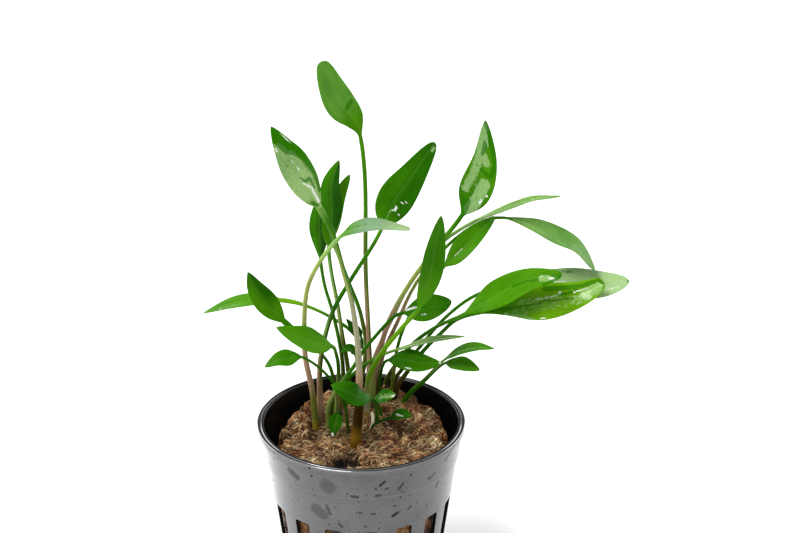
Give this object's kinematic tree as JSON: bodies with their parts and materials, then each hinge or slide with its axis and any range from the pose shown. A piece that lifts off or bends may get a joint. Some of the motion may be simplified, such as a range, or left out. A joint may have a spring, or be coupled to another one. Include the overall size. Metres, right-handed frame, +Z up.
{
  "type": "potted aquarium plant",
  "caption": "Young aquarium plant with slender lance-shaped leaves, rooted in a rockwool plug inside a round black net pot with a slotted wall and a flat base.",
  "frame": {"origin": "centre of the pot's flat underside", "axes": "+Z up along the pot's axis, -Y towards the side that the picture shows, +X to its right"},
  "size_m": [0.1113, 0.055, 0.1484],
  "materials": {
    "pot_plastic": "satin black moulded plastic",
    "rockwool_fibre": "torn brown mineral fibre, wet",
    "root_skin": "smooth cream root",
    "leaf_green": "glossy mid green leaf",
    "leaf_young_green": "glossy light green leaf",
    "leaf_dark_green": "glossy dark green leaf"
  },
  "bodies": {
    "root": {"net_pot": "pot_plastic", "rockwool": "rockwool_fibre", "root_white": "root_skin", "leaf_tall": "leaf_green", "leaf_wet_left": "leaf_green", "leaf_upright_front": "leaf_dark_green", "leaf_upright_back": "leaf_young_green", "leaf_behind_left": "leaf_dark_green", "leaf_arch": "leaf_green", "leaf_centre_right": "leaf_green", "leaf_wet_right": "leaf_green", "leaf_edge_right": "leaf_green", "leaf_hanging_right": "leaf_green", "leaf_under_right": "leaf_green", "leaf_front_upright": "leaf_young_green", "leaf_wet_dark": "leaf_dark_green", "leaf_big_front": "leaf_green", "leaf_big_wet": "leaf_green", "leaf_big_back": "leaf_green", "leaf_thin_arch": "leaf_green", "leaf_dark_front": "leaf_dark_green", "leaf_right_upper": "leaf_green", "leaf_right_lower": "leaf_green", "leaf_far_left": "leaf_green", "leaf_left_pointed": "leaf_green", "leaf_left_bright": "leaf_young_green", "leaf_left_small": "leaf_green", "leaf_low_left": "leaf_dark_green", "leaf_low_right": "leaf_dark_green", "leaf_tiny_front": "leaf_dark_green", "leaf_soil_right": "leaf_dark_green", "leaf_hidden_tip": "leaf_dark_green", "leaf_small_mid": "leaf_dark_green"}
  },
  "joints": []
}
